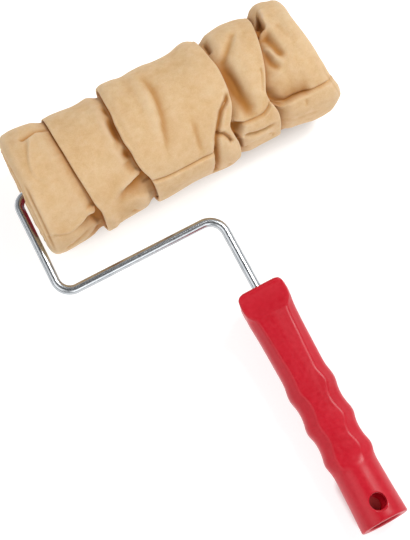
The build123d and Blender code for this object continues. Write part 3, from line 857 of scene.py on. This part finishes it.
        # fold between band k and band k + 1
        line, right_on_top, step, over = FOLDS[k]
        for i in range(ROWS_FOLD):
            a = (i + 1) / (ROWS_FOLD + 1)
            phi = band_seam(k, 1.0) * (1 - a) + band_seam(k + 1, 0.0) * a + rel
            seam = phi - rel
            e = around(line, phi)
            top_k, low_k = (k + 1, k) if right_on_top else (k, k + 1)
            up = band_height(top_k, e + (1.25 if right_on_top else -1.25), phi, seam)
            st = around(step, phi)
            low = lifted(up - st)
            rho = np.minimum(1.25, st * 0.38)          # half the doubled edge
            mid = up - 2 * rho
            gap = np.maximum(mid - low, 0.25)
            ov = over * (0.85 + 0.15 * np.sin(np.radians(phi * 3)))
            sgn = 1.0 if right_on_top else -1.0
            b = a if right_on_top else 1 - a           # from the lower layer to the upper one
            if b < 0.30:              # lower layer, going in under the edge
                t = b / 0.30
                x, r = e + sgn * ov * t, low + 0 * e
            elif b < 0.42:            # turn at the bottom of the pocket
                t = (b - 0.30) / 0.12 * math.pi
                x, r = e + sgn * (ov + gap / 2 * math.sin(t)), low + gap / 2 * (1 - math.cos(t))
            elif b < 0.66:            # back out, under the edge
                t = (b - 0.42) / 0.24
                x, r = e + sgn * (ov * (1 - t) + rho * t), mid + 0 * e
            else:                     # round the visible edge
                t = (b - 0.66) / 0.34 * math.pi
                x, r = e + sgn * (rho - rho * math.sin(t)), mid + rho * (1 - math.cos(t))
            # painted shade inside the fold's pocket, under the doubled edge
            inside = math.exp(-((b - 0.30) / 0.22) ** 2) if b < 0.62 else 0.0
            put(x, r, phi, 0.9 * inside)

    for x, r, phi, c in wrap(1):
        put(x, r, phi, c)

    X, R, P, C = (np.array(v) for v in (rows_x, rows_r, rows_phi, rows_c))
    rad = np.radians(P)
    Y = AX_Y - R * np.sin(rad)
    Z = AX_Z + R * np.cos(rad)
    floor_z = 0.35
    Z = np.where(Z < floor_z + 1.2, floor_z + 1.2 * np.exp(np.minimum((Z - floor_z - 1.2) / 1.2, 0)) * 1.0, Z)
    # inner side of the gathered hide, lying on the padding
    inner = []
    for x in np.linspace(X[-1].mean(), X[0].mean(), 7):
        inner.append((x, 32.7))
    verts = np.stack([X, Y, Z], axis=-1).reshape(-1, 3)
    rows = X.shape[0]
    phi_in = (P[-1] + P[0]) / 2
    extra = []
    for i, (x, r) in enumerate(inner):
        rr = np.radians(P[-1] * (1 - i / 6) + P[0] * (i / 6))
        extra.append(np.stack([np.full(n, x), AX_Y - r * np.sin(rr), AX_Z + r * np.cos(rr)], axis=-1))
    verts = np.concatenate([verts, np.concatenate(extra)])
    total = rows + len(inner)
    faces = grid_faces(total, n, wrap_rows=True)
    # painted shade in valleys and lighter ridges, from the shape itself, at two sizes
    G = verts.reshape(total, n, 3)
    du = np.roll(G, -1, 0) - np.roll(G, 1, 0)
    dv = np.roll(G, -1, 1) - np.roll(G, 1, 1)
    N = np.cross(du, dv)
    N /= np.maximum(np.linalg.norm(N, axis=-1, keepdims=True), 1e-9)
    if (N[rows // 2] * (G[rows // 2] - np.array([0, AX_Y, AX_Z]))).sum() < 0:
        N = -N
    def blurred(A, times):
        for _ in range(times):
            A = 0.5 * A + 0.125 * (np.roll(A, 1, 0) + np.roll(A, -1, 0) + np.roll(A, 1, 1) + np.roll(A, -1, 1))
        return A
    near = ((blurred(G, 8) - G) * N).sum(-1)
    wide = ((blurred(G, 70) - G) * N).sum(-1)
    hollow = np.clip(near * 2.6, -1, 1) * 0.5 + np.clip(wide * 0.55, -1, 1) * 0.5
    hollow = blurred(hollow[..., None], 2)[..., 0]
    # painted shade at half strength on the hide's inner side
    crease_shade = np.concatenate([C.reshape(-1), np.full(len(inner) * n, 0.5)])
    ob = new_object("chamois_cover_gathered", verts * MM, faces)
    add_attr(ob, "crease_shade", crease_shade)
    add_attr(ob, "hollow", hollow.reshape(-1))
    # painted shade in the dips, softened
    deep = np.concatenate([np.array(rows_deep_shade), np.zeros((len(inner), n))])
    add_attr(ob, "deep", blurred(deep[..., None], 3)[..., 0].reshape(-1))
    outward(ob)
    return ob


chamois = build_chamois()
dress(chamois, MAT["chamois"])
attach(chamois, "sleeve")
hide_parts("chamois_cover")
area = sum(p.area for p in chamois.data.polygons)
print("chamois faces", len(chamois.data.polygons), "area", round(area, 4))

# ---------------------------------------------------------------------------
# Padding under the hide
# ---------------------------------------------------------------------------
def build_foam():
    cols, verts = 96, []
    prof = [(CORE_X0 + 0.0, 24.4), (CORE_X0 + 0.1, 28.0), (CORE_X0 + 0.4, 31.0), (CORE_X0 + 1.4, 32.2)]
    prof += [(CORE_X0 + 1.4 + (CORE_X1 - CORE_X0 - 2.8) * k / 40, 32.45) for k in range(1, 40)]
    prof += [(CORE_X1 - 1.4, 32.2), (CORE_X1 - 0.4, 31.0), (CORE_X1 - 0.1, 28.0), (CORE_X1, 24.4)]
    nz = Field(31, 6.0, 40)
    for i, (x, r) in enumerate(prof):
        for j in range(cols):
            a = 2 * math.pi * j / cols
            rr = r + (0.12 * float(nz(x, math.degrees(a))) - 0.1 if r > 30 else 0)
            verts.append((x * MM, (AX_Y - rr * math.sin(a)) * MM, (AX_Z + rr * math.cos(a)) * MM))
    ob = new_object("foam_sleeve", verts, grid_faces(len(prof), cols, wrap_rows=True))
    outward(ob)
    return ob


foam = build_foam()
dress(foam, MAT["foam"])
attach(foam, "sleeve")
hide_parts("foam_padding")

# ---------------------------------------------------------------------------
# Frame wire: one round wire along the CAD rod's path
# ---------------------------------------------------------------------------
def rounded_path(points, radii, step):
    """Centre line through corners (x, y in the frame's plane) with tangent arcs, evenly sampled."""
    P = [np.array(p, float) for p in points]
    pieces, start = [], P[0]
    for k in range(1, len(P) - 1):
        a, b = (P[k] - P[k - 1]), (P[k + 1] - P[k])
        a, b = a / np.linalg.norm(a), b / np.linalg.norm(b)
        turn = math.acos(np.clip(a @ b, -1, 1))
        r = radii[k - 1]
        cut = r * math.tan(turn / 2)
        p0, p1 = P[k] - a * cut, P[k] + b * cut
        pieces.append(("line", start, p0))
        side = np.sign(a[0] * b[1] - a[1] * b[0])
        centre = p0 + side * r * np.array([-a[1], a[0]])
        pieces.append(("arc", centre, p0, turn * side, r))
        start = p1
    pieces.append(("line", start, P[-1]))
    out = []
    for piece in pieces:
        if piece[0] == "line":
            length = np.linalg.norm(piece[2] - piece[1])
            n = max(2, int(length / step))
            out += [piece[1] + (piece[2] - piece[1]) * k / n for k in range(n)]
        else:
            _, c, p0, turn, r = piece
            n = max(8, int(abs(turn) * r / (step * 0.5)))
            v = p0 - c
            for k in range(n):
                t = turn * k / n
                out.append(c + np.array([v[0] * math.cos(t) - v[1] * math.sin(t), v[0] * math.sin(t) + v[1] * math.cos(t)]))
    out.append(P[-1])
    return np.array(out)


WIRE_R = 3.0


def build_wire():
    path = rounded_path([(ROD_X, -159.4), (ROD_X, -66.3), (-106.05, -67.2), (-104.5, 0.0), (99.5, 0.0)], [10.9, 9.7, 7.5], 1.1)
    tang = np.gradient(path, axis=0)
    tang /= np.linalg.norm(tang, axis=1, keepdims=True)
    side = np.stack([-tang[:, 1], tang[:, 0]], axis=1)
    run = np.concatenate([[0], np.cumsum(np.linalg.norm(np.diff(path, axis=0), axis=1))])
    n = 48
    verts, along, turn = [], [], []
    count = len(path)
    for i in range(count):
        on_axle = abs(path[i, 1]) < 0.05 and path[i, 0] > -97
        ear = float(smooth(-96.0, -95.2, path[i, 0]) * (1 - smooth(-92.3, -91.6, path[i, 0]))) if on_axle else 0.0
        # the wire is pressed into a flat ear where it runs along the axle
        for j in range(n):
            a = 2 * math.pi * j / n
            c, s = math.cos(a), math.sin(a)
            r = WIRE_R
            if ear > 0:
                flat = min(4.7 / max(abs(c), 1e-6), 1.0 / max(abs(s), 1e-6))
                r = max(r, WIRE_R + (flat - WIRE_R) * ear) if flat > WIRE_R else r
            end = 0.0
            if i == count - 1:
                r = WIRE_R - 0.6
            p = path[i] + side[i] * (r * c)
            verts.append(in_frame(p[0], p[1], r * s))
            along.append(run[i] / 100.0)
            turn.append(j / n)
    faces = grid_faces(count, n)
    for ring, flip in ((0, False), (count - 1, True)):
        verts.append(in_frame(path[ring][0], path[ring][1], 0.0))
        along.append(run[ring] / 100.0)
        turn.append(0.0)
        mid = len(verts) - 1
        for j in range(n):
            a, b = ring * n + j, ring * n + (j + 1) % n
            faces.append((mid, b, a) if flip else (mid, a, b))
    ob = new_object("frame_wire", verts, faces)
    add_attr(ob, "along", along)
    add_attr(ob, "turn", turn)
    outward(ob)
    return ob


wire = build_wire()
dress(wire, MAT["zinc"])
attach(wire, "frame")
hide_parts("frame_rod")

# ---------------------------------------------------------------------------
# Handle: moulded grip with a scooped head, a flat facet between two ridges, three
# finger swellings, and a round tail with the hanging hole and an open socket
# ---------------------------------------------------------------------------
HEAD_Y, TAIL_Y = -119.2, -278.5
LENGTH = HEAD_Y - TAIL_Y
SOCKET_R, SOCKET_LEN, HANG_R, HANG_FROM_TAIL = 10.5, 58.0, 5.2, 12.8

HALF_W = [(0, 11.6), (0.4, 12.8), (1.0, 13.9), (1.9, 14.9), (3.0, 15.6), (4.4, 16.0), (6, 16.15), (9, 16.3), (12, 15.95), (14, 15.7), (18, 15.15), (22, 14.9), (26, 14.7), (36, 14.4), (46, 14.25), (54, 14.1),
          (58, 14.15), (61, 14.45), (64, 15.0), (67, 15.38), (69.5, 15.3), (72, 14.9), (74.5, 14.35), (77, 14.05), (80, 13.95), (83, 14.2), (86, 14.7), (89, 15.35), (91.2, 15.5), (93.5, 15.2), (96, 14.5),
          (99, 14.0), (102, 13.9), (105, 14.05), (108, 14.5), (111, 15.2), (113.5, 15.5), (116, 15.2), (119, 14.55), (122, 14.25), (126, 14.2), (133, 14.4), (141, 14.6), (149, 14.95), (156, 15.3), (LENGTH, 15.35)]
RIDGE_R = [(0, 11.0), (1.0, 13.0), (3, 14.2), (7, 14.5), (11, 14.4), (14, 13.5), (16.5, 11.6), (18.0, 10.3), (20, 9.7), (24, 9.2), (34, 8.7), (44, 8.0), (54, 7.5), (59.5, 7.3), (64, 8.3), (67.5, 9.1), (70.5, 8.9), (73.5, 7.7), (77, 6.6),
           (81, 6.4), (85.5, 7.3), (89, 8.3), (91.8, 8.6), (95, 7.9), (98, 6.7), (103, 6.2), (107, 7.2), (110, 8.0), (114, 8.0), (117, 6.9), (120, 5.5), (LENGTH, 5.0)]
RIDGE_L = [(0, 11.2), (1.0, 13.4), (3, 15.1), (7, 15.6), (11, 15.5), (14, 14.4), (16.5, 12.4), (18.0, 11.1), (20, 10.5), (24, 10.0), (34, 9.3), (46, 8.6), (56, 8.0), (62, 8.1), (66.5, 8.7), (70, 8.4), (74, 7.3), (78, 6.5), (82, 6.4),
           (86, 7.1), (90, 7.9), (94, 7.8), (99, 7.0), (104, 7.0), (108, 7.8), (112, 8.6), (116, 8.8), (120, 8.6), (LENGTH, 7.5)]
TOP = [(0, 15.2), (0.4, 16.0), (1.0, 16.6), (1.8, 16.9), (3.0, 16.75), (4.5, 16.2), (8, 15.1), (12, 14.1), (15, 13.45), (17.2, 13.05), (18.2, 12.9), (20, 13.0), (30, 13.0), (56, 13.0), (67, 13.2), (79, 13.0), (91, 13.2), (102, 13.0),
       (112, 13.1), (117, 12.9), (119.5, 13.1), (122.5, 14.0), (126, 14.2), (133, 14.4), (141, 14.6), (149, 14.95), (156, 15.3), (LENGTH, 15.35)]
BOTTOM = [(0, 14.5), (1.0, 15.5), (2.4, 16.0), (6, 15.3), (10, 14.4), (14, 13.6), (18, 12.9), (30, 12.8), (56, 12.8), (67, 13.1), (79, 12.8), (91, 13.1), (102, 12.8), (112, 13.4), (119, 13.9), (126, 14.2), (133, 14.4), (141, 14.6),
          (149, 14.95), (156, 15.3), (LENGTH, 15.35)]


ROLL = math.radians(-5.0)         # the grip sits turned on the wire by this much


def table(t, pairs):
    return float(hermite([p[0] for p in pairs], [p[1] for p in pairs], t))


def handle_section(t, n_edge=9, n_corner=11):
    """Closed outline across the handle at t: x to the side, n up from its axis."""
    w, up, down = table(t, HALF_W), table(t, TOP), table(t, BOTTOM)
    rr, rl = min(table(t, RIDGE_R), w - 0.5), min(table(t, RIDGE_L), w - 0.3)
    head = 1.0 - float(smooth(9.0, 19.0, t))
    s_up, s_dn = 6.2 + 4.0 * head, -6.2 - 3.0 * head
    drop = 0.25 * (1 - head)      # facet's edges lie a little under its middle
    wl = w - 0.9 * head           # the sides draw in below the head's lip
    corners = [(rr, up - drop, 1.5), (w - 0.4 * head, s_up, 3.6), (wl - 0.6 * head, s_dn, 3.6), (rr * 0.93, -down, 2.6), (-rl * 0.93, -down, 2.6), (-wl + 0.6 * head, s_dn, 3.6), (-wl, s_up, 3.6), (-rl, up - drop, 1.5)]
    pts = []
    m = len(corners)
    for i in range(m):
        p = np.array(corners[i][:2])
        a, b = np.array(corners[i - 1][:2]), np.array(corners[(i + 1) % m][:2])
        la = min(corners[i][2], 0.42 * np.linalg.norm(a - p))
        lb = min(corners[i][2], 0.42 * np.linalg.norm(b - p))
        p0, p1 = p + (a - p) / np.linalg.norm(a - p) * la, p + (b - p) / np.linalg.norm(b - p) * lb
        for k in range(n_corner):
            q = k / (n_corner - 1)
            pts.append((1 - q) ** 2 * p0 + 2 * q * (1 - q) * p + q * q * p1)
        nb = np.array(corners[(i + 1) % m][:2])
        nn = np.array(corners[(i + 2) % m][:2])
        lc = min(corners[(i + 1) % m][2], 0.42 * np.linalg.norm(p - nb))
        p2 = nb + (p - nb) / np.linalg.norm(p - nb) * lc
        for k in range(1, n_edge + 1):
            q = k / (n_edge + 1)
            pts.append(p1 + (p2 - p1) * q)
    pts = np.array(pts)
    # facet is very slightly crowned
    crown = np.exp(-((pts[:, 0] / 6.0) ** 2)) * (pts[:, 1] > up - 1.0) * drop
    pts[:, 1] += crown
    return pts @ np.array([[math.cos(ROLL), -math.sin(ROLL)], [math.sin(ROLL), math.cos(ROLL)]]), w


ROUND_AT = 108.0
_ref, _ = handle_section(ROUND_AT)
ROUND_ANGLES = np.arctan2(_ref[:, 1], _ref[:, 0])


def handle_ring(t):
    pts, w = handle_section(t)
    ang = ROUND_ANGLES
    rnd = np.stack([np.cos(ang), np.sin(ang)], axis=1) * w
    # round from below first; the facet's end is a slanted, rounded tongue
    tt = t + 0.10 * pts[:, 0]
    up_side = pts[:, 1] > 0
    b = np.where(up_side, smooth(117.5, 123.5, tt + 0.5), smooth(108.0, 122.0, t))
    b = np.asarray(b)[:, None]
    return pts * (1 - b) + rnd * b


def build_handle():
    ts = [0.0, 0.2, 0.45, 0.8, 1.2, 1.7, 2.3, 3.0, 3.8]
    ts += list(np.arange(4.6, 16.0, 0.8)) + list(np.arange(16.0, 20.4, 0.35)) + list(np.arange(20.8, 57, 1.5)) + list(np.arange(57, 128, 0.9)) + list(np.arange(128, LENGTH - 3.2, 1.2))
    rings = []
    for t in ts:
        p = handle_ring(t)
        rings.append([in_frame(ROD_X + q[0], HEAD_Y - t, q[1]) for q in p])
    m = len(rings[0])

    def scaled(t, k, base):
        return [in_frame(ROD_X + q[0] * k, HEAD_Y - t, q[1] * k) for q in base]

    # rounded tail end, flat rim, socket
    base = handle_ring(LENGTH)
    tail_ang = np.arctan2(base[:, 1], base[:, 0])

    def circle(r, t, slant=0.0):
        """Ring at t; slant makes the upper side of the tail's end that much shorter."""
        return [in_frame(ROD_X + r * math.cos(a), HEAD_Y - t + slant * r * math.sin(a) / 15.0, r * math.sin(a)) for a in tail_ang]

    for a in np.linspace(0.0, math.pi / 2, 7):
        rings.append(circle(15.35 - 0.8 * (1 - math.cos(a)), LENGTH - 1.0 + 0.8 * math.sin(a), 1.0))
    rings.append(circle(12.6, LENGTH - 0.2, 1.0))
    for a in np.linspace(0.0, math.pi / 2, 5):
        rings.append(circle(SOCKET_R + 1.0 * (1 - math.sin(a)), LENGTH - 0.2 - 1.0 * (1 - math.cos(a)), 1.0))
    for t in np.linspace(LENGTH - 3.4, LENGTH - SOCKET_LEN, 14):
        rings.append(circle(SOCKET_R, t))
    rings.append(circle(5.0, LENGTH - SOCKET_LEN))
    # head's face, from the outer rim to the wire's hole
    front = handle_ring(0.0)
    face = []
    for k, dt in ((0.985, -0.0), (0.9, 0.05), (0.6, 0.10)):
        face.append(scaled(dt, k, front))
    fang = np.arctan2(front[:, 1], front[:, 0])
    for r, t in ((4.1, 0.12), (3.5, 0.35), (3.15, 0.9), (3.1, 8.0), (1.5, 8.0)):
        face.append([in_frame(ROD_X + r * math.cos(a), HEAD_Y - t, r * math.sin(a)) for a in fang])
    rings = list(reversed(face)) + rings
    verts = [v for ring in rings for v in ring]
    faces = grid_faces(len(rings), m)
    for ring, flip in ((0, False), (len(rings) - 1, True)):
        c = np.mean(rings[ring], axis=0)
        verts.append(c)
        for j in range(m):
            a, b = ring * m + j, ring * m + (j + 1) % m
            faces.append((len(verts) - 1, b, a) if flip else (len(verts) - 1, a, b))
    ob = new_object("handle_grip", verts, faces)
    outward(ob)
    # hanging hole, with a softly rounded lip on both sides
    t_h = LENGTH - HANG_FROM_TAIL
    prof = []
    top = table(t_h, HALF_W)
    for k in range(9):
        a = k / 8 * math.pi / 2
        prof.append((HANG_R + 1.1 * (1 - math.cos(a)), top - 1.35 + 1.1 * math.sin(a)))
    prof.append((HANG_R + 1.15, top + 3.0))
    prof = [(HANG_R, 0.0)] + prof
    full = [(r, -n) for r, n in reversed(prof[1:])] + [(HANG_R, 0.0)] + prof[1:]
    cv, cf, cn = [], [], 64
    for r, n in full:
        for j in range(cn):
            a = 2 * math.pi * (j + 0.5) / cn
            cv.append(in_frame(ROD_X + r * math.cos(a), HEAD_Y - t_h + r * math.sin(a), n))
    cf = grid_faces(len(full), cn)
    for ring, flip in ((0, False), (len(full) - 1, True)):
        cv.append(np.mean(cv[ring * cn:(ring + 1) * cn], axis=0))
        for j in range(cn):
            a, b = ring * cn + j, ring * cn + (j + 1) % cn
            cf.append((len(cv) - 1, b, a) if flip else (len(cv) - 1, a, b))
    cutter = new_object("cutter", cv, cf)
    outward(cutter)
    mod = ob.modifiers.new("hole", "BOOLEAN")
    mod.operation, mod.solver, mod.object = "DIFFERENCE", "EXACT", cutter
    dg = bpy.context.evaluated_depsgraph_get()
    me = bpy.data.meshes.new_from_object(ob.evaluated_get(dg))
    ob.modifiers.clear()
    old = ob.data
    ob.data = me
    bpy.data.meshes.remove(old)
    cm = cutter.data
    bpy.data.objects.remove(cutter)
    bpy.data.meshes.remove(cm)
    ob.data.polygons.foreach_set("use_smooth", [True] * len(ob.data.polygons))
    return ob


handle = build_handle()
dress(handle, MAT["red"])
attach(handle, "frame")
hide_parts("handle")

# ---------------------------------------------------------------------------
# CAD pieces that keep their shape
# ---------------------------------------------------------------------------
for name, mat in (
    [("inner_end_cap", "cap"), ("outer_end_cap", "cap"), ("inner_bearing", "nylon"), ("outer_bearing", "nylon")]
    + [("inner_washer", "washer"), ("outer_washer", "washer"), ("retaining_nut", "washer"), ("core_tube", "core")]
    + [(f"cage_wire_{k}", "cage_steel") for k in range(1, 6)]
):
    dress(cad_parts[name], MAT[mat])

# ---------------------------------------------------------------------------
# Studio
# ---------------------------------------------------------------------------
floor = new_object("studio_floor", [(-6, -6, 0), (6, -6, 0), (6, 6, 0), (-6, 6, 0)], [(0, 1, 2, 3)], False)
floor.location.z = -0.0002
dress(floor, MAT["floor"])

world = bpy.data.worlds.new("studio")
scene.world = world
world.use_nodes = True
wt = world.node_tree
bg = wt.nodes["Background"]
tc = wt.nodes.new("ShaderNodeTexCoord")
sep = wt.nodes.new("ShaderNodeSeparateXYZ")
wt.links.new(tc.outputs["Generated"], sep.inputs[0])
cr = wt.nodes.new("ShaderNodeValToRGB")
els = [(0.0, 0.80), (0.20, 0.95), (0.58, 1.0), (0.78, 0.82), (0.89, 0.27), (1.0, 0.20)]
while len(cr.color_ramp.elements) < len(els):
    cr.color_ramp.elements.new(0.5)
for e, (p, v) in zip(cr.color_ramp.elements, els):
    e.position = p
    e.color = (v, v, v * 1.01, 1)
wt.links.new(sep.outputs["Z"], cr.inputs["Fac"])
wt.links.new(cr.outputs["Color"], bg.inputs["Color"])
bg.inputs["Strength"].default_value = 0.55


def area_light(name, at, look, size, power, size_y=None, color=(1, 1, 1)):
    li = bpy.data.lights.new(name, "AREA")
    li.energy = power
    li.color = color
    li.shape = "RECTANGLE"
    li.size = size
    li.size_y = size_y or size
    ob = bpy.data.objects.new(name, li)
    scene.collection.objects.link(ob)
    ob.location = at
    d = (Vector(look) - Vector(at)).normalized()
    ob.rotation_euler = d.to_track_quat("-Z", "Y").to_euler()
    return ob


area_light("key", (0.66, 0.18, 1.22), (0, 0.03, 0), 0.5, 11.3, 0.5, (1.0, 0.985, 0.975))
area_light("fill", (-0.95, -0.10, 0.85), (0, 0.0, 0), 0.9, 3.2, 0.9, (1.0, 0.99, 0.98))
area_light("near", (-0.10, -1.15, 0.80), (0, 0.03, 0), 0.8, 3.6, 0.8, (1.0, 0.99, 0.98))

# camera: high over the tool, turned so that the roller runs up to the right
AZ, EL, DIST = math.radians(-27.98), math.radians(72.0), 1.05246
TARGET = Vector((-0.019832, 0.030714, 0.020))
back = Vector((math.sin(AZ) * math.cos(EL), -math.cos(AZ) * math.cos(EL), math.sin(EL)))
right = Vector((math.cos(AZ), math.sin(AZ), 0.0))
up = back.cross(right)
cam_data = bpy.data.cameras.new("camera")
cam_data.sensor_fit = "VERTICAL"
cam_data.sensor_height = 24.0
cam_data.lens = 1700.0 / 540.0 * 24.0
cam_data.clip_start, cam_data.clip_end = 0.05, 50
cam = bpy.data.objects.new("camera", cam_data)
scene.collection.objects.link(cam)
cam.matrix_world = Matrix((
    (right.x, up.x, back.x, TARGET.x + back.x * DIST),
    (right.y, up.y, back.y, TARGET.y + back.y * DIST),
    (right.z, up.z, back.z, TARGET.z + back.z * DIST),
    (0, 0, 0, 1),
))
scene.camera = cam
scene.view_settings.view_transform = "Standard"

bpy.context.view_layer.update()
